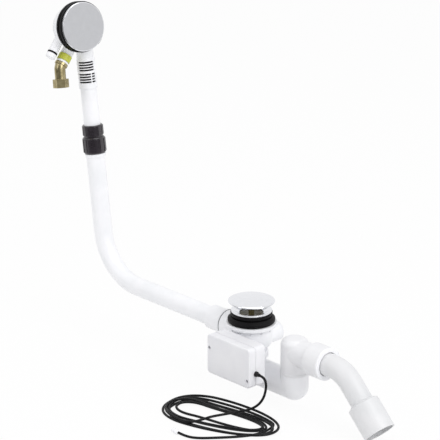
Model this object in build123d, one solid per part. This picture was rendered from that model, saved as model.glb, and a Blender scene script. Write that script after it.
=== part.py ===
from build123d import *
import os
from math import acos, cos, pi, radians, sin, sqrt, tan

# Motor-driven bath waste with a telescopic overflow pipe, a filling overflow head, a low trap and an outlet
# bend.
# Frame: origin on the waste's axis, level with the upper face of the bath floor that the seal's groove holds.
# +Z is up, +X runs with the water to the outlet, -X goes to the overflow, the motor's box is on the -Y side.
# The plug is drawn raised (open). Lengths are in millimetres, angles in degrees.

# Clearances
GAP = 0.2                   # between pieces that seat on one another, on the radius
RUN = 0.1                   # of a guided stem, shaft or sleeve, on the radius

# Waste in the bath floor
BATH_T = 3.0                # bath floor or wall that a profile seal grips
SEAL_R = 41.5               # lower lip of the waste's profile seal
SEAL_LIP_R = 36.6           # its upper lip
SEAL_LIP = 6.0              # height of the upper lip
SEAL_DEPTH = 11.0           # and of the lower one
SEAL_DISH = 4.5             # slope of the lower lip's top
SEAL_WEB_R = 32.5           # bottom of its groove
RIM_R = 35.8                # chrome flange
RIM_T = 3.0
SLEEVE_R = 29.0             # flange's threaded sleeve
SLEEVE_T = 2.5
SLEEVE_L = 28.0
DRAIN_R = 21.0              # waste hole in the flange's dish
DISH_DROP = 6.0
CAP_R = 41.0                # plug's cap
CAP_DOME = 4.3
CAP_RISE = 24.0             # cap's rim above the bath floor when open
PLUG_SEAL_R = 23.5
PLUG_SEAL_T = 5.0
STEM_R = 5.0
LIFT = 12.0                 # plug's travel
GUIDE_HUB_R = 8.5
GUIDE_L = 14.0

# Waste body
BODY_R = 36.5
BODY_L = 36.0               # straight part below its flange
BODY_WALL = 3.0
BODY_FLANGE_R = 44.2
BODY_FLANGE_T = 6.0
SPIGOT_R = 22.0
SPIGOT_WALL = 2.5
SPIGOT_L = 28.0
GUSSETS = 12

# Side ports: one carries the drive, its twin is blanked
PORT_Z = -48.0
PORT_R = 18.0
PORT_BORE_R = 15.2
PORT_FLANGE_R = 22.0
PORT_NEAR = 46.0
PORT_FAR = 60.0
BLANK_T = 4.0
SHAFT_R = 4.0
CAM_LOW_R = 7.0             # smallest radius of the lifting cam
CAM_TURN = 150.0            # turn that lowers the plug
CAM_W = 8.0
TIP_GAP = 0.5               # play between the stem's tip and the cam

# Actuator box
BOX_X0, BOX_X1 = -23.0, 83.0
BOX_Z0, BOX_Z1 = -93.0, -21.0
BOX_SEAM = 69.0             # distance of the split from the waste's axis
BOX_FRONT = 84.0
BOX_WALL = 2.2
BOX_CORNER = 7.0
BOX_EDGE = 2.5
GASKET_T = 1.0
SCREW_R = 3.0               # screw's head
SCREW_CORE_R = 1.5
SCREW_L = 14.0              # from its point to its head
SCREW_HEAD_T = 2.4
SCREW_BITE = 10.0           # its length in the base
SCREW_INSET = 6.0
SCREW_DROP, SCREW_RISE = 24.5, 13.5   # upper screw below the box's top, lower screw above its bottom
GLAND_Z = -68.0
GLAND_R = 4.8
CABLE_D = 4.5
MOTOR_R = 11.5
MOTOR_L = 13.0

# Trap
TRAP_R = 24.5
TRAP_WALL = 2.2
TRAP_Z = -102.5             # axis of the U
RISER_X = 107.7
JOINT_Z = -77.8             # split between the U and the outlet elbow
JOINT_L = 16.0
NUT_TOP = -66.6
TRAP_NUT_R = 30.0
TRAP_NUT_H = 11.0

# Outlet
OUT_Z = -38.0
ELBOW_DOME = 12.0           # rounding of the elbow's closed top
SOCKET_X0, SOCKET_X1 = 152.0, 184.0
SOCKET_R = 29.0
SNAP_T = 3.6
SNAP_GAP = 0.8              # round the bend, on the radius
OUT_R = 20.0                # 40 mm bend
OUT_WALL = 2.2
OUT_CORNER_X = 224.0
OUT_TURN = 45.0
OUT_BEND_R = 60.0
OUT_SOCKET_S = 62.0         # from the corner to the socket, along the sloping leg
OUT_SOCKET_L = 59.0
PIPE_R = 25.0               # 50 mm pipe that the end socket takes
PIPE_DEPTH = 50.0
END_SEAL_IN, END_SEAL_L = 16.0, 5.0   # its seal's groove, from the mouth

# Overflow pipe
PIPE_Z = -35.0              # axis of the lying run
CORNER_X = -385.0
LEAN = 7.5                  # of the standing leg, away from the bath
BEND_R = 95.0
TUBE_R = 17.0
UPPER_R = 15.0
UPPER_WALL = 1.8
ARM_R = 24.3
ARM_L = 58.0
INLET_GASKET_T = 2.4
COLLAR_R = 21.6
COLLAR_L = 39.0
NUT_S = 232.5               # underside of the coupling nut, from the pipe's corner
NUT_H = 30.5
NUT_R = 20.2
NUT_RIBS = 12
NUT_RIB_W = 5.2
NUT_THREAD_L = 20.0
CLAMP_R = 18.6
CLAMP_H = 19.5
UPPER_S = 165.0             # lower end of the sliding tube
UPPER_L = 195.0

# Overflow head
HEAD_S = 472.4              # head's centre above the pipe's corner
SWIVEL = 5.9                # head's turn on the pipe, as shown
TILT = 4.5                  # extra tilt of the bath wall
FACE_OFFSET = 36.5          # rosette's face in front of the pipe's axis
FACE_SHIFT = 20.2           # and beside it
ROSETTE_R = 44.3
ROSETTE_T = 7.0
PLATE_T = 2.6               # rosette's plate
SKIRT_R = 41.6              # and the skirt behind it
INTAKE_W = 56.0             # water slot in the skirt's and the seal's lower edge
OSEAL_R = 46.0
OSEAL_LIP = 2.5
OSEAL_BACK = 6.5
INSERT_R = 27.0
CHAMBER_R = 36.0
CHAMBER_D = 36.5
HEAD_FLANGE_R = 44.0
HEAD_FLANGE_T = 4.5
SLEEVE2_R = 16.8            # slotted sleeve under the head
SLEEVE2_LAP = 6.0           # its lap over the sliding tube
SLOT_H = 3.0
SLOT_PITCH = 4.8
SLOTS = 4
SLOT_LOW, SLOT_HIGH = 5.0, 27.0   # where the two groups start above the tube's end
BARREL_SLANT = 41.0         # of both barrels, from straight down the wall
BARREL_R = 11.3
BARREL_SOCKET_R = 8.3
BARREL_BORE_R = 5.5
BARREL_Z = -39.5            # depth of the barrels' axes behind the face
BARREL_X, BARREL_Y = 52.8, -25.2  # middle of the clip, below and beside the face's centre
CLIP_W = 12.5
CLIP_T = 1.7
VALVE_R = 9.0
VALVE_PITCH = 26.5          # between the two barrels
VALVE_SHIFT = 4.4
VALVE_CAP_L = 11.0
VALVE_SEAL_T = 3.4
ELBOW_R = 10.0
ELBOW_COLLAR_R = 12.0
ELBOW_U = 19.0              # elbow's corner beyond the clip's middle
ELBOW_TURN = 36.0
ELBOW_BEND_R = 13.0
ELBOW_LEG = 37.0
HEX_FLATS = 25.0
HEX_L = 15.5
THREAD_R = 9.3              # half-inch pipe thread, core
THREAD_L = 13.0

# Cable: hand-laid points
FLOOR = -144.0
CABLE_RUN = [(92, -69, -68), (100.5, -69, -68), (107.3, -69.5, -72.5), (110.8, -70.8, -81), (110.8, -72.8, -92),
             (108, -75, -104), (101.5, -78.5, -115.5), (91, -83, -125), (77, -88, -132.5)]
CABLE_TAIL = [(148, -121, -141.7), (134, -152, -141.7), (106, -189, -141.7), (89, -209, -141.7), (72, -219.5, -141),
              (54, -221, -139.4)]
COIL_MID = (46.5, -125.5)
COIL_TURNED = 13.0
COIL_BROAD = -25.0          # where the egg-shaped coil is widest, along its own length
COIL_BLUNT, COIL_POINTED = 80.0, 142.0   # from there to its two ends
COIL_HALF_W = 58.0
COIL_BAND = 30.0
COIL_H = 14.0

BASE = (Align.CENTER, Align.CENTER, Align.MIN)
TO_X = Rot(0, 90, 0)
TO_Y = Rot(-90, 0, 0)


def rod(r, z0, z1):
    """Round bar about Z from z0 to z1."""
    return Pos(0, 0, min(z0, z1)) * Cylinder(r, abs(z1 - z0), align=BASE)


def ring(r_out, r_in, z0, z1):
    """Tube about Z from z0 to z1."""
    return rod(r_out, z0, z1) - rod(r_in, z0, z1)


def turned(*points):
    """Solid of revolution about Z from (radius, height) points."""
    return revolve(make_face(Polyline(*[(r, 0, z) for r, z in points], close=True)), Axis.Z)


def around(piece, count, start=0.0):
    """Copies of a piece round Z."""
    return [Rot(0, 0, start + 360 * i / count) * piece for i in range(count)]


def pipe_along(path, r):
    """Round bar swept along a path that starts along the path's own tangent."""
    return sweep(Plane(path @ 0, z_dir=path % 0) * Circle(r), path)


def cord_path(name, points):
    """Straight runs joined by arcs that are as large as the shorter of the two runs allows."""
    knots = [Vector(*p) for p in points]
    radii = []
    for a, b, c in zip(knots, knots[1:], knots[2:]):
        turn = radians((b - a).get_angle(c - b))
        radii.append(0.45 * min((b - a).length, (c - b).length) / tan(turn / 2))
    print(name, "radii", [round(r, 1) for r in radii])
    return FilletPolyline(*points, radius=radii)


# Heights that follow from the sizes above
seal_top = SEAL_LIP
seal_bottom = -BATH_T - SEAL_DEPTH
body_bottom = seal_bottom - BODY_FLANGE_T - BODY_L
spigot_end = body_bottom - SPIGOT_L
bore_r = BODY_R - BODY_WALL
spigot_bore = SPIGOT_R - SPIGOT_WALL
cam_high_r = CAM_LOW_R + LIFT
tip_z = PORT_Z + cam_high_r + TIP_GAP
rim_top = seal_top + RIM_T
dish_low = rim_top - DISH_DROP
sleeve_bore = SLEEVE_R - SLEEVE_T
sleeve_end = seal_top - SLEEVE_L
boss_z = CAP_RISE - 3.5          # underside of the cap's boss, on the plug seal
plug_plate = boss_z - PLUG_SEAL_T
tube_bore = UPPER_R + 3 * RUN
nut_top = NUT_S + NUT_H
upper_top = UPPER_S + UPPER_L
trap_bore = TRAP_R - TRAP_WALL

# Places of the leaning pipe, of the head's face and of its two barrels
PIPE = Pos(CORNER_X, 0, PIPE_Z) * Rot(0, -LEAN, 0)
HEAD = PIPE * Pos(0, 0, HEAD_S) * Rot(0, 0, -SWIVEL)
FACE = HEAD * Pos(FACE_OFFSET, -FACE_SHIFT, 0) * Rot(0, 90 - TILT, 0)
SLANT = Rot(0, 0, -BARREL_SLANT) * TO_X
BARREL = FACE * Pos(BARREL_X, BARREL_Y, BARREL_Z) * SLANT
VALVE = BARREL * Pos(0, -VALVE_PITCH, VALVE_SHIFT)
LEG = BARREL * Pos(0, 0, ELBOW_U) * Rot(-ELBOW_TURN, 0, 0)

# Waste: the seal grips the bath floor, the flange's sleeve is screwed down into the body
bath_seal = turned(
    (SLEEVE_R + GAP, seal_top), (SEAL_LIP_R - 1.5, seal_top), (SEAL_LIP_R, seal_top - 1.5), (SEAL_LIP_R, 0),
    (SEAL_WEB_R, 0), (SEAL_WEB_R, -BATH_T), (SEAL_LIP_R, -BATH_T), (SEAL_R, -BATH_T - SEAL_DISH),
    (SEAL_R, seal_bottom + 2), (SEAL_R - 2, seal_bottom), (SLEEVE_R + GAP, seal_bottom))

waste_flange = turned(
    (RIM_R, seal_top), (RIM_R, rim_top - 1.2), (RIM_R - 1.2, rim_top), (RIM_R - 4.5, rim_top - 0.4),
    (DRAIN_R, dish_low), (DRAIN_R, dish_low - 2.5), (sleeve_bore, dish_low - 4.5), (sleeve_bore, sleeve_end),
    (SLEEVE_R, sleeve_end), (SLEEVE_R, seal_top))

guide_r = sleeve_bore - GAP
guide_top = dish_low - 4.5 - 2
guide_ring = ring(guide_r, guide_r - 2.2, guide_top - GUIDE_L, guide_top)
guide_arm = Pos((guide_r + STEM_R) / 2 - 0.5, 0, guide_top - GUIDE_L) * Box(
    guide_r - STEM_R - 3, 2.4, GUIDE_L - 4, align=BASE)
stem_guide = guide_ring + rod(GUIDE_HUB_R, guide_top - GUIDE_L - 4, guide_top)
for arm in around(guide_arm, 3, 30):
    stem_guide += arm
stem_guide -= rod(STEM_R + RUN, guide_top - GUIDE_L - 5, guide_top + 1)

# Plug: the domed cap, the seal under its boss and the stem whose plate clamps the seal
dome_h = CAP_DOME - 1.9
dome_r = ((CAP_R - 3) ** 2 + dome_h ** 2) / (2 * dome_h)
dome_mid = CAP_RISE + CAP_DOME - dome_r + sqrt(dome_r ** 2 - (CAP_R / 2) ** 2)
cap_profile = make_face(
    Polyline((CAP_R - 1.4, 0, CAP_RISE - 1.3), (CAP_R - 0.4, 0, CAP_RISE - 0.9), (CAP_R, 0, CAP_RISE),
             (CAP_R - 0.4, 0, CAP_RISE + 0.9), (CAP_R - 3, 0, CAP_RISE + 1.9))
    + ThreePointArc((CAP_R - 3, 0, CAP_RISE + 1.9), (CAP_R / 2, 0, dome_mid),
                    (0, 0, CAP_RISE + CAP_DOME))
    + Polyline((0, 0, CAP_RISE + CAP_DOME), (0, 0, boss_z), (PLUG_SEAL_R - 1.5, 0, boss_z),
               (PLUG_SEAL_R - 1.5, 0, CAP_RISE + 0.8), (CAP_R - 4, 0, CAP_RISE - 0.4),
               (CAP_R - 2.6, 0, CAP_RISE - 1.3), (CAP_R - 1.4, 0, CAP_RISE - 1.3)))
plug_cap = revolve(cap_profile, Axis.Z) - rod(STEM_R, boss_z - 1, CAP_RISE + 1)

plug_seal = turned((STEM_R + 6, plug_plate), (PLUG_SEAL_R - 2, plug_plate), (PLUG_SEAL_R, plug_plate + 1.5),
                   (PLUG_SEAL_R, boss_z), (STEM_R + 6, boss_z))

plug_stem = turned((0, CAP_RISE + 1), (STEM_R, CAP_RISE + 1), (STEM_R, boss_z), (STEM_R + 6, boss_z),
                   (STEM_R + 6, plug_plate), (DRAIN_R - 1.5, plug_plate), (DRAIN_R - 2.5, plug_plate - 1.8),
                   (STEM_R + 2, plug_plate - 2.4), (STEM_R, plug_plate - 5), (STEM_R, tip_z + 9), (0.5, tip_z),
                   (0, tip_z))

# Waste body: cup, overflow arm, twin ports and a spigot for the trap, all one moulding
flange_low = seal_bottom - BODY_FLANGE_T
cup = turned((0, seal_bottom), (BODY_FLANGE_R, seal_bottom), (BODY_FLANGE_R, flange_low), (BODY_R, flange_low),
             (BODY_R, body_bottom + 4), (BODY_R - 3, body_bottom), (SPIGOT_R, body_bottom - 4),
             (SPIGOT_R, spigot_end), (0, spigot_end))
cup_hollow = turned((0, seal_bottom), (SLEEVE_R + GAP, seal_bottom), (SLEEVE_R + GAP, sleeve_end),
                    (bore_r, sleeve_end - 4), (bore_r, body_bottom + 5), (spigot_bore, body_bottom - 4),
                    (spigot_bore, spigot_end), (0, spigot_end))
arm_place = Pos(0, 0, PIPE_Z) * TO_X
port_place = Pos(0, 0, PORT_Z) * TO_Y
waste_body = cup + arm_place * rod(ARM_R, -ARM_L, 0) + port_place * rod(PORT_R, -PORT_NEAR, PORT_FAR)
gusset = Plane.XZ * make_face(Polyline((BODY_R - 1, flange_low), (BODY_FLANGE_R - 1.5, flange_low),
                                       (BODY_R - 1, flange_low - 9), close=True))
for rib in around(extrude(gusset, 0.9, both=True), GUSSETS, 15):
    waste_body += rib
waste_body += port_place * rod(PORT_FLANGE_R, -PORT_NEAR, -PORT_NEAR + 4)
waste_body -= cup_hollow + rod(BODY_FLANGE_R, seal_bottom, seal_bottom + ARM_R)
waste_body -= arm_place * (rod(TUBE_R + GAP, -ARM_L, -ARM_L + 14) + rod(tube_bore, -ARM_L, -SLEEVE_R))
waste_body -= port_place * rod(PORT_BORE_R, -PORT_NEAR, PORT_FAR)

# Drive: the camshaft turns in a bush in the near port and lifts the stem on a spiral cam
cam_points = [((cam_high_r - LIFT * i / 20) * -sin(radians(CAM_TURN * i / 20)),
               (cam_high_r - LIFT * i / 20) * cos(radians(CAM_TURN * i / 20))) for i in range(21)]
dwell = radians(8)
flank = dwell + acos(CAM_LOW_R / cam_high_r)
back = radians(CAM_TURN) - 2 * pi
cam_face = make_face(
    Spline(*cam_points)
    + ThreePointArc(cam_points[-1], (-CAM_LOW_R * sin((back - flank) / 2), CAM_LOW_R * cos((back - flank) / 2)),
                    (CAM_LOW_R * sin(flank), CAM_LOW_R * cos(flank)))
    + Line((CAM_LOW_R * sin(flank), CAM_LOW_R * cos(flank)), (cam_high_r * sin(dwell), cam_high_r * cos(dwell)))
    + ThreePointArc((cam_high_r * sin(dwell), cam_high_r * cos(dwell)),
                    (cam_high_r * sin(dwell / 2), cam_high_r * cos(dwell / 2)), cam_points[0]))
cam = Pos(0, 0, PORT_Z) * extrude(Plane.XZ * cam_face, CAM_W / 2, both=True)
motor_y = PORT_NEAR + BOX_WALL
lift_camshaft = cam + port_place * rod(SHAFT_R, -motor_y - MOTOR_L + 1, CAM_W / 2 + 2)
lift_camshaft += port_place * rod(SHAFT_R + 1.5, -CAM_W / 2 - 3, -CAM_W / 2)

bush_in, bush_out = bore_r - 4, PORT_NEAR - GAP
shaft_bush = port_place * (ring(PORT_BORE_R - GAP, SHAFT_R + RUN, -bush_out, -bush_in - 3)
                           - ring(PORT_BORE_R - 2, SHAFT_R + 2.5, -bush_out, -bush_in - 6))
shaft_seal = port_place * ring(SHAFT_R + 4 - GAP, SHAFT_R + RUN, -bush_in - 3, -bush_in)

blank_l = 10.0
blanking_cap = port_place * (
    turned((0, PORT_FAR), (PORT_R, PORT_FAR), (PORT_R, PORT_FAR + BLANK_T - 2),
           (PORT_R - 2, PORT_FAR + BLANK_T), (PORT_R - 6, PORT_FAR + BLANK_T),
           (PORT_R - 7, PORT_FAR + BLANK_T - 1), (0, PORT_FAR + BLANK_T - 1))
    + ring(PORT_BORE_R - GAP, PORT_BORE_R - 4, PORT_FAR - blank_l, PORT_FAR)
    - ring(PORT_BORE_R, PORT_BORE_R - 2, PORT_FAR - blank_l + 3, PORT_FAR - blank_l + 6))
blanking_seal = port_place * ring(PORT_BORE_R - GAP, PORT_BORE_R - 2, PORT_FAR - blank_l + 3 + GAP,
                                  PORT_FAR - blank_l + 6 - GAP)

# Trap: a compression nut on the spigot, the U and the outlet elbow, whose corners are ball-shaped
nut_low = NUT_TOP - TRAP_NUT_H
trap_collar = TRAP_NUT_R - 2.8
trap_nut = turned((SPIGOT_R + GAP, NUT_TOP), (TRAP_NUT_R - 2, NUT_TOP), (TRAP_NUT_R, NUT_TOP - 2),
                  (TRAP_NUT_R, nut_low), (trap_collar + GAP, nut_low), (trap_collar + GAP, NUT_TOP - 3),
                  (SPIGOT_R + GAP, NUT_TOP - 3))
for rib in around(Pos(TRAP_NUT_R, 0, nut_low) * Box(1.6, 2.4, TRAP_NUT_H - 2.2, align=BASE), 12):
    trap_nut += rib
seal_low = NUT_TOP - 3 - 6
trap_seal = ring(trap_collar - GAP, SPIGOT_R + GAP, seal_low, NUT_TOP - 3)


def u_bend(r, joint_r, low, shoulder):
    """Round U with ball corners: down from the waste, along the floor, up to the joint's spigot."""
    floor_run = Pos(0, 0, TRAP_Z) * TO_X * rod(r, 0, RISER_X)
    balls = Pos(0, 0, TRAP_Z) * Sphere(r) + Pos(RISER_X, 0, TRAP_Z) * Sphere(r)
    legs = rod(r, TRAP_Z, low) + Pos(RISER_X, 0, 0) * rod(r, TRAP_Z, shoulder)
    return floor_run + balls + legs + Pos(RISER_X, 0, 0) * rod(joint_r, shoulder - 1, JOINT_Z + JOINT_L)


joint_r = trap_bore - GAP
trap_bend = u_bend(TRAP_R, joint_r, seal_low, JOINT_Z)
trap_bend += rod(trap_collar, seal_low - 6, seal_low)
trap_bend -= u_bend(trap_bore, joint_r - 2.2, seal_low, JOINT_Z - 3)
trap_joint_seal = Pos(RISER_X, 0, 0) * ring(joint_r + 0.1, joint_r - 1.2, JOINT_Z + 6, JOINT_Z + 9)
trap_bend -= Pos(RISER_X, 0, 0) * ring(joint_r + 1, joint_r - 1.2, JOINT_Z + 6, JOINT_Z + 9)

seal_x = SOCKET_X1 - 10
socket_bore = SOCKET_R - 3


def riser(r, dome):
    """Standing leg of the elbow, closed above the outlet by a dome."""
    leg = rod(r, JOINT_Z, OUT_Z + r)
    return Pos(RISER_X, 0, 0) * fillet(leg.edges().sort_by(Axis.Z)[-1], dome)


branch_r = TRAP_R - 0.6
elbow_out = riser(TRAP_R, ELBOW_DOME) + Pos(RISER_X, 0, 0) * rod(TRAP_R + 0.9, JOINT_Z, JOINT_Z + 4)
elbow_out += Pos(0, 0, OUT_Z) * TO_X * (rod(branch_r, RISER_X, SOCKET_X0 + 4) + turned(
    (0, SOCKET_X0 - 3), (branch_r, SOCKET_X0 - 3), (SOCKET_R, SOCKET_X0 + 1), (SOCKET_R, SOCKET_X1),
    (0, SOCKET_X1)))
elbow_in = riser(trap_bore, ELBOW_DOME - TRAP_WALL)
elbow_in += Pos(0, 0, OUT_Z) * TO_X * (rod(branch_r - TRAP_WALL, RISER_X, SOCKET_X1)
                                       + rod(socket_bore, SOCKET_X0 + 5, SOCKET_X1))
trap_outlet = elbow_out - elbow_in

out_place = Pos(0, 0, OUT_Z) * TO_X
outlet_lip_seal = out_place * turned(
    (OUT_R + RUN, seal_x), (socket_bore - GAP, seal_x), (socket_bore - GAP, SOCKET_X1), (OUT_R + 3, SOCKET_X1),
    (OUT_R + 3, seal_x + 4), (OUT_R + RUN, seal_x + 4))
snap_end = SOCKET_X1 + SNAP_T
snap_bore = OUT_R + SNAP_GAP
outlet_snap_ring = out_place * turned(
    (snap_bore, SOCKET_X1), (SOCKET_R, SOCKET_X1), (SOCKET_R, snap_end - 1), (SOCKET_R - 1, snap_end),
    (snap_bore + 0.8, snap_end), (snap_bore, snap_end - 0.8))

# Outlet bend: a 40 mm bend whose end socket takes a 50 mm pipe
SLOPE = Pos(OUT_CORNER_X, 0, OUT_Z) * Rot(0, 90 + OUT_TURN, 0)
out_start = SOCKET_X0 + 7
socket_end = OUT_SOCKET_S + OUT_SOCKET_L
end_r = PIPE_R + GAP + 2.8
groove_end = socket_end - END_SEAL_IN
out_path = FilletPolyline((out_start, 0, OUT_Z), (OUT_CORNER_X, 0, OUT_Z),
                          (SLOPE * Pos(0, 0, OUT_SOCKET_S)).position, radius=OUT_BEND_R)
outlet_bend = pipe_along(out_path, OUT_R) + SLOPE * turned(
    (0, OUT_SOCKET_S - 1), (OUT_R, OUT_SOCKET_S - 1), (end_r, OUT_SOCKET_S + 4), (end_r, socket_end),
    (0, socket_end))
outlet_bend -= pipe_along(out_path, OUT_R - OUT_WALL)
outlet_bend -= SLOPE * (rod(OUT_R - OUT_WALL, OUT_SOCKET_S - 1, socket_end)
                        + rod(PIPE_R + GAP, socket_end - PIPE_DEPTH, socket_end)
                        + rod(PIPE_R + 1.6, groove_end - END_SEAL_L, groove_end))
outlet_end_seal = SLOPE * ring(PIPE_R + 1.6 - GAP, PIPE_R + GAP / 2, groove_end - END_SEAL_L + GAP, groove_end - GAP)

# Overflow pipe: bent lower tube, its seat in the waste body and the coupling of the sliding tube
bend_path = FilletPolyline((-ARM_L + 13, 0, PIPE_Z), (CORNER_X, 0, PIPE_Z),
                           (PIPE * Pos(0, 0, NUT_S + NUT_THREAD_L)).position, radius=BEND_R)
thread_r = NUT_R - 2.2
overflow_bend_tube = pipe_along(bend_path, TUBE_R) + PIPE * turned(
    (TUBE_R - 1, NUT_S - 9), (TUBE_R, NUT_S - 9), (NUT_R - 1.2, NUT_S - 5), (NUT_R - 1.2, NUT_S - 0.6),
    (thread_r, NUT_S - 0.6), (thread_r, NUT_S + NUT_THREAD_L), (TUBE_R - 1, NUT_S + NUT_THREAD_L))
overflow_bend_tube -= pipe_along(bend_path, tube_bore)

inlet_gasket = arm_place * ring(ARM_R - 0.8, TUBE_R + GAP, -ARM_L - INLET_GASKET_T, -ARM_L)
collar_near = -ARM_L - INLET_GASKET_T
inlet_collar = arm_place * turned(
    (TUBE_R + GAP, collar_near), (ARM_R, collar_near), (ARM_R, collar_near - 4), (ARM_R - 1, collar_near - 5),
    (COLLAR_R, collar_near - 6), (COLLAR_R, collar_near - COLLAR_L + 1), (COLLAR_R - 1, collar_near - COLLAR_L),
    (TUBE_R + GAP, collar_near - COLLAR_L))

coupling_seal = PIPE * ring(thread_r - GAP, UPPER_R + RUN, NUT_S + NUT_THREAD_L, nut_top - 5)
coupling_nut = turned(
    (thread_r + GAP, NUT_S), (NUT_R - 1.5, NUT_S), (NUT_R, NUT_S + 2), (NUT_R, nut_top - 1.5),
    (NUT_R - 1.5, nut_top), (CLAMP_R - 1.2 + GAP, nut_top), (CLAMP_R - 1.2 + GAP, nut_top - 5),
    (thread_r + GAP, nut_top - 5))
for rib in around(Pos(NUT_R, 0, NUT_S + 3) * Box(1.8, NUT_RIB_W, NUT_H - 6, align=BASE), NUT_RIBS):
    coupling_nut += rib
coupling_nut = PIPE * coupling_nut
clamp_low = nut_top + 3
coupling_collar = turned(
    (tube_bore, nut_top - 5), (CLAMP_R - 1.2, nut_top - 5), (CLAMP_R - 1.2, clamp_low), (CLAMP_R, clamp_low),
    (CLAMP_R, clamp_low + CLAMP_H - 1), (CLAMP_R - 1, clamp_low + CLAMP_H), (tube_bore, clamp_low + CLAMP_H))
for rib in around(Pos(CLAMP_R, 0, clamp_low + 1) * Box(1.2, NUT_RIB_W, CLAMP_H - 3, align=BASE), NUT_RIBS):
    coupling_collar += rib
coupling_collar = PIPE * coupling_collar

overflow_upper_tube = PIPE * ring(UPPER_R, UPPER_R - UPPER_WALL, UPPER_S, upper_top)

# Overflow head, drawn in the face's place: x down the bath wall, y beside, z out into the bath
seat = -ROSETTE_T
oseal_back = seat - OSEAL_LIP - BATH_T - OSEAL_BACK
intake = FACE * Pos(ROSETTE_R, 0, seat) * Box(ROSETTE_R, INTAKE_W, ROSETTE_T - PLATE_T, align=BASE)
overflow_rosette = FACE * turned(
    (0, 0), (ROSETTE_R - 1.5, 0), (ROSETTE_R, -1.2), (ROSETTE_R, -PLATE_T), (SKIRT_R, -PLATE_T), (SKIRT_R, seat),
    (SKIRT_R - 2, seat), (SKIRT_R - 2, -PLATE_T), (INSERT_R - 4, -PLATE_T), (INSERT_R - 4, seat),
    (INSERT_R - 6, seat), (INSERT_R - 6, -PLATE_T), (0, -PLATE_T)) - intake
overflow_seal = FACE * turned(
    (INSERT_R + GAP, seat), (SKIRT_R + GAP, seat), (SKIRT_R + GAP, -PLATE_T - GAP), (OSEAL_R - 1, -PLATE_T - GAP),
    (OSEAL_R, -PLATE_T - 1), (OSEAL_R, seat - OSEAL_LIP), (INSERT_R + 5, seat - OSEAL_LIP),
    (INSERT_R + 5, oseal_back + OSEAL_BACK), (OSEAL_R, oseal_back + OSEAL_BACK), (OSEAL_R, oseal_back + 1),
    (OSEAL_R - 1, oseal_back), (INSERT_R + GAP, oseal_back)) - intake
insert_end = oseal_back - 12
overflow_insert = turned(
    (INSERT_R - 4 + GAP, seat + 2), (INSERT_R + 9, seat + 2), (INSERT_R + 9, seat), (INSERT_R, seat),
    (INSERT_R, insert_end), (INSERT_R - 2.5, insert_end), (INSERT_R - 2.5, seat - 1),
    (INSERT_R - 4 + GAP, seat - 1))
for notch in around(Pos(INSERT_R - 2, 0, insert_end) * Box(8, 7, 7, align=BASE), 4):
    overflow_insert -= notch
overflow_insert = FACE * overflow_insert

chamber_back = oseal_back - CHAMBER_D
head_low = oseal_back - HEAD_FLANGE_T
head_shell = FACE * turned(
    (0, oseal_back), (HEAD_FLANGE_R, oseal_back), (HEAD_FLANGE_R, head_low), (CHAMBER_R, head_low - 1),
    (CHAMBER_R - 1, chamber_back + 8), (CHAMBER_R - 8, chamber_back), (0, chamber_back))
head_hollow = FACE * turned(
    (0, oseal_back), (INSERT_R + GAP, oseal_back), (INSERT_R + GAP, insert_end - 1),
    (CHAMBER_R - 3, insert_end - 1), (CHAMBER_R - 3.4, chamber_back + 9), (CHAMBER_R - 9, chamber_back + 2.4),
    (0, chamber_back + 2.4))
sleeve_low = upper_top - SLEEVE2_LAP
slots_top = upper_top + SLOT_HIGH + SLOTS * SLOT_PITCH
head_neck = PIPE * (rod(UPPER_R + 0.6, slots_top, HEAD_S - 5) + turned(
    (0, sleeve_low), (SLEEVE2_R, sleeve_low), (SLEEVE2_R, slots_top), (UPPER_R + 0.6, slots_top + 4),
    (0, slots_top + 4)))
neck_bore = PIPE * (rod(UPPER_R + RUN, sleeve_low, slots_top) + rod(UPPER_R - 2, slots_top, HEAD_S - 8))
clip_in, clip_out = -CLIP_W / 2, CLIP_W / 2
barrel_end = clip_out + 4
barrel = BARREL * (rod(BARREL_R, -46, barrel_end) - ring(BARREL_R + 1, BARREL_R - 1, clip_in, clip_out))
barrel_bore = BARREL * (rod(BARREL_SOCKET_R, clip_in - 5, barrel_end) + rod(BARREL_BORE_R, -44, clip_in))
valve_barrel = VALVE * rod(VALVE_R, -42, -1)
valve_bore = VALVE * rod(VALVE_R - 2, -34, -1)
overflow_head = (head_shell + head_neck + barrel + valve_barrel
                 - head_hollow - neck_bore - barrel_bore - valve_bore)

for low, webs in ((SLOT_LOW, ((5.3, -10.6), (22.0, 56.6))), (SLOT_HIGH, ((24.5, 49.6),))):
    for i in range(SLOTS):
        z = upper_top + low + i * SLOT_PITCH
        slot = ring(SLEEVE2_R + 1, UPPER_R - 1, z, z + SLOT_H)
        for web_w, web_at in webs:
            for web in around(Pos(SLEEVE2_R, 0, z) * Box(22, web_w, SLOT_H, align=BASE), 2, web_at):
                slot -= web
        overflow_head -= PIPE * Rot(0, 0, -SWIVEL) * slot
air_membrane = PIPE * ring(UPPER_R - RUN, UPPER_R - 1.6, upper_top + 1, slots_top - 1)

cartridge_r = VALVE_R - 2 - GAP
check_valve = VALVE * turned(
    (0, -33), (cartridge_r, -33), (cartridge_r, -28), (cartridge_r - 1.2, -27), (cartridge_r - 1.2, -16),
    (cartridge_r, -15), (cartridge_r, -11), (0, -11))
cap_low = VALVE_SEAL_T - 1
valve_cap_seal = VALVE * ring(VALVE_R + 0.3, VALVE_R - 2.4, -1, cap_low)
valve_cap = VALVE * (turned((0, cap_low), (VALVE_R, cap_low), (VALVE_R, VALVE_CAP_L - 1.5),
                            (VALVE_R - 1.5, VALVE_CAP_L), (0, VALVE_CAP_L))
                     + rod(VALVE_R - 2.4 - GAP, -10, cap_low))

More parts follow.
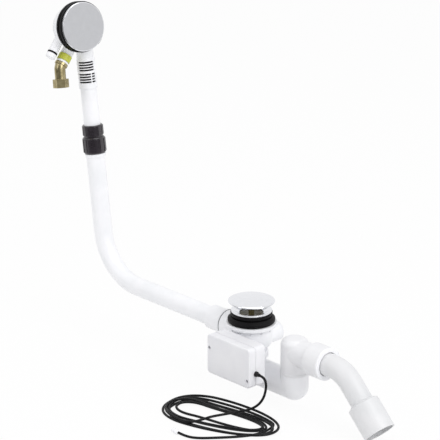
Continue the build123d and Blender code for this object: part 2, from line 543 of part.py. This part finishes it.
# Fill inlet: brass elbow plugged into the barrel and held by the coloured clip
clip_gap = Pos(BARREL_R, 0, clip_in) * Box(2 * BARREL_R, 1.1 * BARREL_R, CLIP_W, align=BASE)
retaining_clip = BARREL * (ring(BARREL_R - 1 + GAP + CLIP_T, BARREL_R - 1 + GAP, clip_in + 0.3, clip_out - 0.3)
                           - clip_gap)
plug_r = BARREL_SOCKET_R - RUN
seal_u = -1.0


def elbow_bar(r, start, end):
    """Round bar through the elbow, from a place on the barrel to a place on the leg."""
    return pipe_along(FilletPolyline((BARREL * Pos(0, 0, start)).position, LEG.position,
                                     (LEG * Pos(0, 0, end)).position, radius=ELBOW_BEND_R), r)


hex_start = ELBOW_LEG - HEX_L
brass_elbow = BARREL * (rod(plug_r, clip_in - 4, barrel_end + 1)
                        + rod(ELBOW_COLLAR_R, barrel_end + 0.3, barrel_end + 5))
brass_elbow += elbow_bar(ELBOW_R, barrel_end + 4, hex_start + 1)
brass_elbow += LEG * Pos(0, 0, hex_start) * extrude(RegularPolygon(HEX_FLATS / 2, 6, major_radius=False), HEX_L)
brass_elbow -= elbow_bar(plug_r - 2, clip_in - 4, ELBOW_LEG)
brass_elbow -= BARREL * ring(plug_r + 1, plug_r - 1.4, seal_u, seal_u + 3) + LEG * rod(
    THREAD_R, ELBOW_LEG - THREAD_L, ELBOW_LEG)
elbow_seal = BARREL * ring(plug_r, plug_r - 1.4, seal_u + RUN, seal_u + 3 - RUN)

# Actuator box: base and cover with a gasket between, the gear motor on the shaft, a board and the cable's gland
box_w, box_h = BOX_X1 - BOX_X0, BOX_Z1 - BOX_Z0
BOX = Pos((BOX_X0 + BOX_X1) / 2, 0, (BOX_Z0 + BOX_Z1) / 2) * Rot(90, 0, 0)


def box_slab(inset, y0, y1):
    """Rounded slab of the box's outline, y measured out from the waste's axis towards the front."""
    outline = RectangleRounded(box_w - 2 * inset, box_h - 2 * inset, BOX_CORNER - inset)
    return BOX * Pos(0, 0, y0) * extrude(outline, y1 - y0)


def box_at(x, z, y):
    """Place on the box with its own +Z pointing out of the front."""
    return Pos(x, -y, z) * Rot(90, 0, 0)


base_end, cover_start = BOX_SEAM - GASKET_T / 2, BOX_SEAM + GASKET_T / 2
base_solid = box_slab(0, PORT_NEAR, base_end)
base_solid = fillet(base_solid.faces().sort_by(Axis.Y)[-1].edges(), BOX_EDGE)
cover_solid = box_slab(0, cover_start, BOX_FRONT)
cover_solid = fillet(cover_solid.faces().sort_by(Axis.Y)[0].edges(), BOX_EDGE)
screw_places = [(BOX_X0 + SCREW_INSET, BOX_Z1 - SCREW_DROP), (BOX_X1 - SCREW_INSET, BOX_Z0 + SCREW_RISE)]
boss_r = SCREW_R + 1.5
under_head = SCREW_L - SCREW_BITE - GASKET_T   # of the screw, above the cover's inner edge
cover_t = BOX_FRONT - cover_start
board_x0, board_x1 = MOTOR_R + 12, BOX_X1 - 11
board_z0, board_z1 = BOX_Z0 + 8, BOX_Z1 - 8
board_y = PORT_NEAR + BOX_WALL + 8

actuator_housing = base_solid - box_slab(BOX_WALL, PORT_NEAR + BOX_WALL, base_end)
actuator_cover = cover_solid - box_slab(BOX_WALL, cover_start, BOX_FRONT - BOX_WALL)
cover_screws = []
for x, z in screw_places:
    actuator_housing += box_at(x, z, PORT_NEAR + 1) * rod(boss_r, 0, base_end - PORT_NEAR - 1)
    actuator_housing -= box_at(x, z, base_end - SCREW_BITE - 1) * rod(SCREW_CORE_R, 0, SCREW_BITE + 1)
    actuator_cover += box_at(x, z, cover_start) * rod(boss_r, 0, cover_t - 1)
    actuator_cover -= box_at(x, z, cover_start) * (rod(SCREW_CORE_R + GAP, 0, cover_t)
                                                   + rod(SCREW_R + GAP, under_head, cover_t))
    screw = rod(SCREW_CORE_R - RUN / 2, 0, SCREW_L + 1) + rod(SCREW_R, SCREW_L, SCREW_L + SCREW_HEAD_T)
    screw -= Pos(0, 0, SCREW_L + SCREW_HEAD_T / 2) * Box(3.2, 0.7, SCREW_HEAD_T, align=BASE)
    cover_screws.append(box_at(x, z, base_end - SCREW_BITE) * screw)
for x in (board_x0 + 5, board_x1 - 5):
    for z in (board_z0 + 5, board_z1 - 5):
        actuator_housing += box_at(x, z, PORT_NEAR + 1) * rod(2.6, 0, board_y - PORT_NEAR - 1)
actuator_housing -= box_at(0, PORT_Z, PORT_NEAR) * rod(SHAFT_R + 3, 0, BOX_WALL + 1)
gland_place = Pos(BOX_X1, -BOX_SEAM, GLAND_Z) * TO_X
gland_neck = GLAND_R - 1.8
for_gland = gland_place * rod(gland_neck + GAP, -BOX_WALL - 1, 1)
actuator_housing -= for_gland
actuator_cover -= for_gland
gasket_inset = 0.7
housing_gasket = (box_slab(gasket_inset, base_end, cover_start) - box_slab(BOX_WALL, base_end, cover_start)
                  - for_gland)

cable_r = CABLE_D / 2
gland_nose = CABLE_RUN[0][0] - BOX_X1
cable_gland = gland_place * turned(
    (cable_r, -BOX_WALL - 3), (GLAND_R + 1, -BOX_WALL - 3), (GLAND_R + 1, -BOX_WALL - GAP),
    (gland_neck, -BOX_WALL - GAP), (gland_neck, GAP), (GLAND_R, GAP), (GLAND_R, 3), (GLAND_R - 1.4, 4),
    (cable_r + 0.8, gland_nose), (cable_r, gland_nose))

motor_place = Pos(0, -motor_y, PORT_Z) * Rot(90, 0, 0)
gear_motor = motor_place * (rod(MOTOR_R, 0, MOTOR_L) + Pos(4, 0, 0) * rod(10.5, MOTOR_L, MOTOR_L + 15)
                            - rod(SHAFT_R + RUN, -1, MOTOR_L - 0.5))
board_t = 1.6
circuit_board = box_at((board_x0 + board_x1) / 2, (board_z0 + board_z1) / 2, board_y) * (
    Box(board_x1 - board_x0, board_z1 - board_z0, board_t, align=BASE)
    + Pos(6, 12, board_t) * Box(12, 9, 5, align=BASE) + Pos(-10, -6, board_t) * Box(8, 8, 2, align=BASE)
    + Pos(-8, 14, board_t) * rod(4, 0, 8))

# Cable: the free stretches as plain tubes, the loose coil as one solid of its outer shape
cable_run = pipe_along(cord_path("cable_run", CABLE_RUN), cable_r)
cable_tail = pipe_along(cord_path("cable_tail", CABLE_TAIL), cable_r)
coil_place = Pos(COIL_MID[0], COIL_MID[1], FLOOR) * Rot(0, 0, COIL_TURNED)


def coil_egg(inset):
    """Outline of the coil, a half ellipse for each end, drawn in by an inset."""
    broad = (COIL_BROAD, 0)
    half_w = COIL_HALF_W - inset
    return make_face(EllipticalCenterArc(broad, COIL_BLUNT - inset, half_w, 90, arc_size=180)
                     + EllipticalCenterArc(broad, COIL_POINTED - inset, half_w, 270, arc_size=180))


cable_coil = coil_place * extrude(coil_egg(0) - coil_egg(COIL_BAND), COIL_H)
tail_end, tail_last = Vector(*CABLE_TAIL[-1]), Vector(*CABLE_TAIL[-2])
plug_w = 4.4
cable_connector = Plane(tail_end, z_dir=tail_end - tail_last) * turned(
    (0, 0), (cable_r + 0.6, 0), (plug_w, 3), (plug_w, 8), (plug_w - 0.6, 8), (plug_w - 0.6, 13), (0, 13))

nodes = dict(
    waste_body=waste_body, bath_seal=bath_seal, waste_flange=waste_flange, stem_guide=stem_guide,
    plug_cap=plug_cap, plug_stem=plug_stem, plug_seal=plug_seal, lift_camshaft=lift_camshaft, shaft_bush=shaft_bush,
    shaft_seal=shaft_seal, blanking_cap=blanking_cap, blanking_seal=blanking_seal, trap_nut=trap_nut,
    trap_seal=trap_seal, trap_bend=trap_bend, trap_outlet=trap_outlet, trap_joint_seal=trap_joint_seal,
    outlet_snap_ring=outlet_snap_ring, outlet_lip_seal=outlet_lip_seal, outlet_bend=outlet_bend,
    outlet_end_seal=outlet_end_seal, overflow_bend_tube=overflow_bend_tube, inlet_collar=inlet_collar,
    inlet_gasket=inlet_gasket, coupling_nut=coupling_nut, coupling_collar=coupling_collar,
    coupling_seal=coupling_seal, overflow_upper_tube=overflow_upper_tube, overflow_head=overflow_head,
    overflow_rosette=overflow_rosette, overflow_seal=overflow_seal, overflow_insert=overflow_insert,
    air_membrane=air_membrane, check_valve=check_valve, valve_cap=valve_cap, valve_cap_seal=valve_cap_seal,
    retaining_clip=retaining_clip, brass_elbow=brass_elbow, elbow_seal=elbow_seal,
    actuator_housing=actuator_housing, actuator_cover=actuator_cover, housing_gasket=housing_gasket,
    cover_screws=Compound(children=cover_screws), gear_motor=gear_motor, circuit_board=circuit_board,
    cable_gland=cable_gland, cable_run=cable_run, cable_coil=cable_coil, cable_tail=cable_tail,
    cable_connector=cable_connector)

os.makedirs("parts", exist_ok=True)
for name, shape in nodes.items():
    export_step(shape, f"parts/{name}.step")
    print(name, len(shape.solids()), round(shape.volume))
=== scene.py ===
import bmesh
import bpy
import numpy as np
from mathutils import Matrix


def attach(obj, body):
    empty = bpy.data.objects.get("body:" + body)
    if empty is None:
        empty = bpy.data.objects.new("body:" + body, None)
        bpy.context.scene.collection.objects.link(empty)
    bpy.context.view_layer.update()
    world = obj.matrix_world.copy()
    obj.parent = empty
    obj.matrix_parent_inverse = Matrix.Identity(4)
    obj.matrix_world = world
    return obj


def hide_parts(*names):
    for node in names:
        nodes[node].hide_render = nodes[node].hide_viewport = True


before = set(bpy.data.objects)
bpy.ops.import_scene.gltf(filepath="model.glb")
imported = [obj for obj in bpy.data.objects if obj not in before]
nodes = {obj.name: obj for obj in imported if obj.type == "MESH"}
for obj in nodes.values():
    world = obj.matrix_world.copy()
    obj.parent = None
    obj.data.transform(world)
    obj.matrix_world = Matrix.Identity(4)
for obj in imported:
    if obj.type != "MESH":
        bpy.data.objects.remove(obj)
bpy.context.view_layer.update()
MM = 0.001
FLOOR = -144.0 * MM


def linear(code):
    """Linear RGBA of an sRGB hex colour: the lowest part divided by 12.92, the rest by the 2.4 power law."""
    c = np.array([int(code[i:i + 2], 16) for i in (1, 3, 5)]) / 255
    return (*np.where(c <= 0.04045, c / 12.92, ((c + 0.055) / 1.055) ** 2.4).tolist(), 1.0)


def placed(name, data):
    """A new object in the scene."""
    obj = bpy.data.objects.new(name, data)
    bpy.context.scene.collection.objects.link(obj)
    return obj


def add(tree, kind, inputs=None, **settings):
    """A node with its settings; each input is a value, or a socket of another node that gets linked to it."""
    node = tree.nodes.new(kind)
    for key, value in settings.items():
        setattr(node, key, value)
    for key, value in (inputs or {}).items():
        if isinstance(value, bpy.types.NodeSocket):
            tree.links.new(value, node.inputs[key])
        else:
            node.inputs[key].default_value = value
    return node


def finish_of(name, **sockets):
    """A material, its tree, its shader with constant sockets set, and the Object coordinates for patterns."""
    mat = bpy.data.materials.new(name)
    mat.use_nodes = True
    tree = mat.node_tree
    shader = tree.nodes["Principled BSDF"]
    for key, value in sockets.items():
        shader.inputs[key.replace("_", " ")].default_value = value
    return mat, tree, shader, add(tree, "ShaderNodeTexCoord").outputs["Object"]


def noise(tree, where, size_mm, detail):
    """Soft noise whose patches are about so many mm wide."""
    inputs = {"Vector": where, "Scale": 1 / (size_mm * MM), "Detail": detail}
    return add(tree, "ShaderNodeTexNoise", inputs).outputs["Fac"]


def tone(tree, shader, pattern, *ends):
    """Colour that runs with the pattern between two ends, each a level and a hex colour."""
    tint = add(tree, "ShaderNodeValToRGB", {"Fac": pattern})
    for stop, (level, code) in zip(tint.color_ramp.elements, ends):
        stop.position, stop.color = level, linear(code)
    tree.links.new(tint.outputs["Color"], shader.inputs["Base Color"])


def sheen(tree, shader, pattern, least, most):
    """Roughness that runs with the pattern."""
    rough = add(tree, "ShaderNodeMapRange", {"Value": pattern, "To Min": least, "To Max": most})
    tree.links.new(rough.outputs["Result"], shader.inputs["Roughness"])


def relief(tree, shader, pattern, depth_mm, strength, edge_mm):
    """Bump that runs with the pattern, over edges that catch the light as if rounded by so many mm."""
    edge = add(tree, "ShaderNodeBevel", {"Radius": edge_mm * MM}, samples=6)
    bump = add(tree, "ShaderNodeBump", {"Height": pattern, "Distance": depth_mm * MM, "Strength": strength,
                                        "Normal": edge.outputs["Normal"]})
    tree.links.new(bump.outputs["Normal"], shader.inputs["Normal"])


def moulded(name, light, dark, gloss, grain_mm, depth_mm, **sockets):
    """Injection-moulded plastic or rubber: clouded a little by uneven cooling, with a grain from the tool."""
    mat, tree, shader, where = finish_of(name, IOR=1.49, **sockets)
    cloud = noise(tree, where, 38, 3.0)
    tone(tree, shader, cloud, (0.35, dark), (0.68, light))
    sheen(tree, shader, cloud, gloss - 0.05, gloss + 0.07)
    relief(tree, shader, noise(tree, where, grain_mm, 2.0), depth_mm, 0.35, 0.8)
    return mat


def metal(name, light, dark, gloss, mark_mm, depth_mm):
    """Metal: the tone drifts a little, and marks from polishing or turning break up the gloss."""
    mat, tree, shader, where = finish_of(name, Metallic=1.0)
    tone(tree, shader, noise(tree, where, 9, 4.0), (0.36, dark), (0.66, light))
    marks = noise(tree, where, mark_mm, 2.0)
    sheen(tree, shader, marks, gloss - 0.03, gloss + 0.06)
    relief(tree, shader, marks, depth_mm, 0.25, 0.5)
    return mat


# The real grain and marks are too fine to show, so they are drawn coarser, at 1 to 2.2 mm.
# Clean cool white with a soft sheen: the pipes look smooth and new
white_pp = moulded("white_polypropylene_moulded", "#F8F8FB", "#F2F3F6", 0.36, 1.6, 0.05)
# The same white, painted a little greyer as shade for the less lit trap: its outlet stands off the pale floor
white_pp_painted_shade = moulded("white_polypropylene_trap_painted_shade", "#EEEEF0", "#E8E8EB", 0.38, 1.6, 0.05)
# Greyer again, as painted shade for the dimmer light low at the right: the outlet bend keeps its outline where it
# comes nearest to the floor
white_pp_painted_deeper_shade = moulded("white_polypropylene_pipe_painted_shade", "#E2E2E4", "#DBDCDE", 0.40, 1.6, 0.05)
# Duller, with a deeper grain: the box looks flat beside the pipes
white_abs = moulded("white_abs_spark_grained", "#F1F1F4", "#EBEBEF", 0.45, 1.1, 0.09)
# Glossy black with a violet tinge: the ribs of the coupling catch the light
black_pp = moulded("black_polypropylene_moulded", "#342E35", "#282329", 0.17, 1.4, 0.05, Specular_IOR_Level=0.75)
# Dull black: the gland is a dark dot on the box
black_pa = moulded("black_polyamide_gland", "#1C1B1D", "#141315", 0.45, 1.2, 0.05, Specular_IOR_Level=0.25)
# Matt black that mirrors almost nothing: the seals are dark rings
rubber = moulded("black_epdm_rubber", "#141315", "#0C0B0D", 0.52, 1.3, 0.06, Specular_IOR_Level=0.14)
# Creamy and waxy, on pieces inside
natural_pom = moulded("natural_acetal_moulded", "#EFEDE6", "#E4E1D8", 0.35, 1.5, 0.05)
# Yellow-green: the one strong colour
green_clip = moulded("yellow_green_acetal_clip", "#C9CC4C", "#B4B838", 0.38, 1.2, 0.06)
# Satin black: a thin light line follows each turn of the cable
sheath = moulded("black_pvc_cable_sheath", "#151517", "#0D0D0F", 0.42, 1.2, 0.04, Specular_IOR_Level=0.20)
# Dull white: the box's joint shows as little more than a line
white_silicone = moulded("white_silicone_gasket", "#F4F4F6", "#EEEEF1", 0.50, 1.2, 0.05)
# Dull grey gasket, a real part whose grey is painted shade of the groove: a line between the overflow pipe's collar
# and the body
gasket_grey_groove_shade = moulded("grey_epdm_gasket_painted_groove_shade", "#97989B", "#85868A", 0.50, 1.2, 0.05)
# Green lacquer, inside the box
board = moulded("green_solder_mask", "#1F6B3C", "#185531", 0.40, 1.0, 0.05)
# A mirror with a trace of haze: cap, flange and rosette take the tone of the room
chrome = metal("chrome_plating_polished", "#E7E8EC", "#E4E5E9", 0.07, 2.2, 0.002)
# Dull greyish yellow with darker patches: bare brass beside the chrome
brass = metal("brass_cast_and_turned", "#BBAF88", "#A0946E", 0.32, 1.2, 0.05)
# Dark and dull: the screws are dots in the cover
steel = metal("black_phosphated_steel", "#343437", "#232326", 0.45, 1.2, 0.03)

FINISHES = {
    white_pp: "waste_body blanking_cap outlet_snap_ring overflow_bend_tube inlet_collar overflow_upper_tube "
              "overflow_head valve_cap overflow_insert cable_connector trap_nut trap_bend",
    # painted shade: the trap's outlet gets a greyer copy of the white polypropylene
    white_pp_painted_shade: "trap_outlet",
    # painted shade: the outlet bend gets the greyest copy of the white polypropylene
    white_pp_painted_deeper_shade: "outlet_bend",
    white_abs: "actuator_housing actuator_cover",
    natural_pom: "stem_guide shaft_bush check_valve",
    black_pp: "coupling_nut coupling_collar",
    black_pa: "cable_gland",
    rubber: "bath_seal plug_seal shaft_seal blanking_seal trap_seal trap_joint_seal outlet_lip_seal "
            "outlet_end_seal coupling_seal overflow_seal air_membrane valve_cap_seal elbow_seal",
    white_silicone: "housing_gasket",
    # painted shade: the gasket's grey stands for the shade in the groove at the collar
    gasket_grey_groove_shade: "inlet_gasket",
    chrome: "waste_flange plug_cap overflow_rosette",
    brass: "plug_stem brass_elbow lift_camshaft",
    green_clip: "retaining_clip",
    steel: "cover_screws gear_motor",
    board: "circuit_board",
    sheath: "cable_run cable_coil cable_tail",
}
for mat, names in FINISHES.items():
    for name in names.split():
        nodes[name].data.materials.clear()
        nodes[name].data.materials.append(mat)

# Air slots of the overflow head, longer than the solid's, in mm and degrees in the frame of its leaning pipe
PIPE_FOOT, PIPE_LEAN, HEAD_TURN = (-385.0, 0, -35.0), np.radians(-7.5), np.radians(-5.9)
SLOT_ROWS = [(387.0, -88.6, 21), (365.0, -94, -8), (365.0, -1.5, 28)]   # foot of the lowest slot, first, last angle
SLOTS, SLOT_PITCH = 4, 4.8
SLOT_SECTION = np.array([(14.2, -0.02), (18.5, -0.02), (18.5, 3.02), (14.2, 3.02)])   # through the sleeve's wall
SLOT_STEPS = 16


def slot_blocks():
    """Blocks that lengthen the slots: a square section of the sleeve's wall, carried round the pipe's axis by
    an angle that runs over the slot, for the slots a pitch apart in each row and again half a turn on; then
    leant as the pipe."""
    verts, faces = [], []
    corners = len(SLOT_SECTION)
    for start, first, last in SLOT_ROWS:
        for i in range(2 * SLOTS):
            angle = np.radians(np.linspace(first, last, SLOT_STEPS) + 180 * (i // SLOTS)) + HEAD_TURN
            r, z = SLOT_SECTION[None, :, 0], start + SLOT_PITCH * (i % SLOTS) + SLOT_SECTION[None, :, 1]
            x, y = r * np.cos(angle)[:, None], r * np.sin(angle)[:, None]
            z = np.broadcast_to(z, x.shape)
            base = corners * SLOT_STEPS * len(verts)
            block = np.stack([x * np.cos(PIPE_LEAN) + z * np.sin(PIPE_LEAN), y,
                              z * np.cos(PIPE_LEAN) - x * np.sin(PIPE_LEAN)], 2)
            verts.append(block.reshape(-1, 3) + PIPE_FOOT)
            k, c = np.meshgrid(np.arange(SLOT_STEPS - 1), np.arange(corners), indexing="ij")
            a, b = base + corners * k + c, base + corners * k + (c + 1) % corners
            faces += np.stack([a, a + corners, b + corners, b], 2).reshape(-1, 4).tolist()
            end = base + corners * SLOT_STEPS
            faces += [[base, base + 1, base + 2, base + 3], [end - 1, end - 2, end - 3, end - 4]]
    mesh = bpy.data.meshes.new("slot_blocks")
    mesh.from_pydata((np.concatenate(verts) * MM).tolist(), [], faces)
    return mesh


def merged_copy(node):
    """A copy of a node's mesh, its loose triangles joined."""
    mesh = nodes[node].data.copy()
    joined = bmesh.new()
    joined.from_mesh(mesh)
    bmesh.ops.remove_doubles(joined, verts=joined.verts, dist=0.002 * MM)
    joined.to_mesh(mesh)
    joined.free()
    return mesh


head = placed("slotted_overflow_head", merged_copy("overflow_head"))
blocks = placed("slot_blocks", slot_blocks())
cut = head.modifiers.new("slots", "BOOLEAN")
cut.operation, cut.object, cut.solver = "DIFFERENCE", blocks, "EXACT"
bpy.context.view_layer.update()
mesh = bpy.data.meshes.new_from_object(head.evaluated_get(bpy.context.evaluated_depsgraph_get()))
head.modifiers.clear()
head.data = mesh
mesh.shade_smooth()
mesh.set_sharp_from_angle(angle=np.radians(25))
mesh.materials.clear()
mesh.materials.append(white_pp)
bpy.data.objects.remove(blocks)
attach(head, "overflow_head")
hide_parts("overflow_head")

# Cable, in mm: down from the gland, across to the coil, the loose turns and the tail, as one open spline
CABLE_R = 2.25
LYING_Z = -141.7            # axis of a strand on the floor
RUN = [(92, -69, -68), (100.5, -69, -68), (107.3, -69.5, -72.5), (110.8, -70.8, -81), (110.8, -72.8, -92),
       (108, -75, -104), (101.5, -78.5, -115.5), (91, -83, -125), (77, -88, -132.5)]
ACROSS = [(68, -93, -135.5), (54.5, -116.5, -138), (43, -135.5, -140), (43.5, -153.5, -139),
          (44.5, -174, -137), (35, -187, -137)]
TAIL = [(148, -121, LYING_Z), (134, -152, LYING_Z), (106, -189, LYING_Z), (89, -209, LYING_Z),
        (72, -219.5, -141), (54, -221, -139.4)]

# Each loose turn at its near side, left end, far side and right tip: how far it is drawn in, and raised
DRAWN_IN = [(2, 6, 34, 27), (13, 3, 20, 8), (0, 0, -2, 0), (4, 12, 18, 22), (38, 18, 35, 26), (15, 8, 9, 3)]
RAISED = [(4, 6, 3, 2), (3, 3, 1, 1), (0, 2, 4, 2), (0, 1, 0, 0), (0, 3, 2, 0), (1, 4, 2, 0)]
FIRST_TURN, LAST_TURN, TURN_STEPS = 0.06, 5.72, 24
COIL_X, COIL_Y, COIL_TURNED = 22, -131, np.radians(13)
REACH_LEFT, REACH_RIGHT, REACH_ACROSS = 75, 145, 55.5
BLUNT_LEFT, BLUNT_RIGHT = 0.83, 0.9


def coil_turns():
    """Egg-shaped turns, clockwise from the near side: the cosine and sine of the angle, blunted by a power
    below one, more on the left half, times a reach that is longer to the right and less by what the turn is
    drawn in at that angle."""
    turn = np.arange(FIRST_TURN, LAST_TURN, 1 / TURN_STEPS)
    quarters = np.arange(0, len(DRAWN_IN), 0.25)
    angle = np.radians(270) - 2 * np.pi * turn
    inset = np.interp(turn, quarters, np.ravel(DRAWN_IN))
    left = np.cos(angle) < 0
    blunt = np.where(left, BLUNT_LEFT, BLUNT_RIGHT)
    reach = np.where(left, REACH_LEFT, REACH_RIGHT)
    x = np.sign(np.cos(angle)) * np.abs(np.cos(angle)) ** blunt * (reach - inset)
    y = np.sign(np.sin(angle)) * np.abs(np.sin(angle)) ** blunt * (REACH_ACROSS - inset)
    z = LYING_Z + np.interp(turn, quarters, np.ravel(RAISED))
    return np.stack([COIL_X + x * np.cos(COIL_TURNED) - y * np.sin(COIL_TURNED),
                     COIL_Y + x * np.sin(COIL_TURNED) + y * np.cos(COIL_TURNED), z], 1)


route = np.concatenate([RUN, ACROSS, coil_turns(), TAIL]) * MM
line = bpy.data.curves.new("control_cable", "CURVE")
line.dimensions, line.bevel_depth, line.bevel_resolution, line.resolution_u = "3D", CABLE_R * MM, 5, 5
spline = line.splines.new("NURBS")
spline.points.add(len(route) - 1)
spline.points.foreach_set("co", np.column_stack([route, np.ones(len(route))]).ravel())
spline.order_u, spline.use_endpoint_u = 3, True
cable = placed("control_cable", line)
line.materials.append(sheath)
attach(cable, "waste")
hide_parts("cable_run", "cable_coil", "cable_tail")

# Floor: white paper. The camera sees it almost burnt out; gloss mirrors a glow that fades towards the camera
FLOOR_REACH = 30
BURNT_OUT = 0.93
floor_mesh = bpy.data.meshes.new("floor")
floor_mesh.from_pydata([(FLOOR_REACH * x, FLOOR_REACH * y, FLOOR) for x, y in ((-1, -1), (1, -1), (1, 1), (-1, 1))],
                       [], [(0, 1, 2, 3)])
floor = placed("floor", floor_mesh)
paper, tree, shader, where = finish_of("white_paper_sweep", Roughness=0.9)
shader.inputs["Base Color"].default_value = linear("#F4F4F4")
path = add(tree, "ShaderNodeLightPath").outputs
nearer = add(tree, "ShaderNodeVectorMath", {0: where, 1: (0.55, -0.83, 0)}, operation="DOT_PRODUCT")
shade = add(tree, "ShaderNodeMapRange", {"Value": nearer.outputs["Value"], "From Min": 0.30, "From Max": 0.90,
                                         "To Min": 1.0, "To Max": 0.12})
level = add(tree, "ShaderNodeMath", {0: path["Is Camera Ray"], 1: shade.outputs["Result"]}, operation="MAXIMUM")
glow = add(tree, "ShaderNodeEmission", {"Color": (1, 1, 1, 1), "Strength": level.outputs["Value"]})
seen = add(tree, "ShaderNodeMath", {0: path["Is Camera Ray"], 1: BURNT_OUT}, operation="MULTIPLY")
part = add(tree, "ShaderNodeMath", {0: seen.outputs["Value"], 1: path["Is Glossy Ray"]}, operation="MAXIMUM")
mix = add(tree, "ShaderNodeMixShader", {0: part.outputs["Value"], 1: shader.outputs["BSDF"],
                                        2: glow.outputs["Emission"]})
tree.links.new(mix.outputs["Shader"], tree.nodes["Material Output"].inputs["Surface"])
floor_mesh.materials.append(paper)

# World: even light, which gloss mirrors as a white room with a greyer wall at the right and a dark one in front
EVEN_LIGHT = 0.68
world = bpy.data.worlds.new("studio")
bpy.context.scene.world = world
world.use_nodes = True
tree = world.node_tree
path = add(tree, "ShaderNodeLightPath").outputs
seen = add(tree, "ShaderNodeMath", {0: path["Is Glossy Ray"], 1: path["Is Transmission Ray"]}, operation="MAXIMUM")
heading = add(tree, "ShaderNodeTexCoord").outputs["Generated"]
toward = add(tree, "ShaderNodeVectorMath", {0: heading, 1: (0.88, 0.47, 0)}, operation="DOT_PRODUCT")
wall = add(tree, "ShaderNodeMapRange", {"Value": toward.outputs["Value"], "From Min": 0.5, "From Max": 0.9,
                                        "To Min": 1.0, "To Max": 0.70})
beside = add(tree, "ShaderNodeVectorMath", {0: heading, 1: (0.10, -0.99, 0)}, operation="DOT_PRODUCT")
shade = add(tree, "ShaderNodeMapRange", {"Value": beside.outputs["Value"], "From Min": 0.30, "From Max": 0.75,
                                         "To Min": 1.0, "To Max": 0.20})
room = add(tree, "ShaderNodeMath", {0: wall.outputs["Result"], 1: shade.outputs["Result"]}, operation="MULTIPLY")
mirrored = add(tree, "ShaderNodeMix", {"Factor": seen.outputs["Value"], "A": EVEN_LIGHT, "B": room.outputs["Value"]})
level = add(tree, "ShaderNodeMath", {0: mirrored.outputs["Result"], 1: path["Is Camera Ray"]}, operation="MAXIMUM")
tree.links.new(level.outputs["Value"], tree.nodes["Background"].inputs["Strength"])
tree.nodes["Background"].inputs["Color"].default_value = (1, 1, 1, 1)


def facing(side, back, at):
    """Matrix of a lamp or camera, from its sideways and backward directions and its place."""
    pose = np.eye(4)
    pose[:3, 0], pose[:3, 1], pose[:3, 2], pose[:3, 3] = side, np.cross(back, side), back, at
    return Matrix(pose.tolist())


def softbox(name, at, aim, size, watts):
    """A square area lamp at a place, facing another."""
    lamp = bpy.data.lights.new(name, "AREA")
    lamp.size, lamp.energy = size, watts
    back = np.array(at, float) - np.array(aim, float)
    back /= np.linalg.norm(back)
    side = np.cross((0, 0, 1), back)
    side /= np.linalg.norm(side)
    placed(name, lamp).matrix_world = facing(side, back, at)


softbox("key", (2.45, 0.0, 1.9), (-0.1, 0, 0.1), 1.8, 36)
softbox("fill", (-0.9, -2.4, 1.7), (-0.3, 0, 0.2), 1.6, 13)
softbox("top", (-0.5, 0.3, 2.6), (-0.1, 0, 0.1), 1.8, 9)

# Camera, fitted to the photo
CAMERA_TURN, CAMERA_TILT = np.radians(47.0), np.radians(19.5)
CAMERA_AT = np.array([2686.3, -2579.7, 1490.7]) * MM
lens = bpy.data.cameras.new("camera")
lens.lens, lens.sensor_width, lens.clip_end = 188.8, 36.0, 100
camera = placed("camera", lens)
camera.matrix_world = facing(
    np.array([np.cos(CAMERA_TURN), np.sin(CAMERA_TURN), 0]),
    np.array([np.sin(CAMERA_TURN) * np.cos(CAMERA_TILT), -np.cos(CAMERA_TURN) * np.cos(CAMERA_TILT),
              np.sin(CAMERA_TILT)]), CAMERA_AT)
bpy.context.scene.camera = camera
bpy.context.scene.view_settings.view_transform = "Standard"
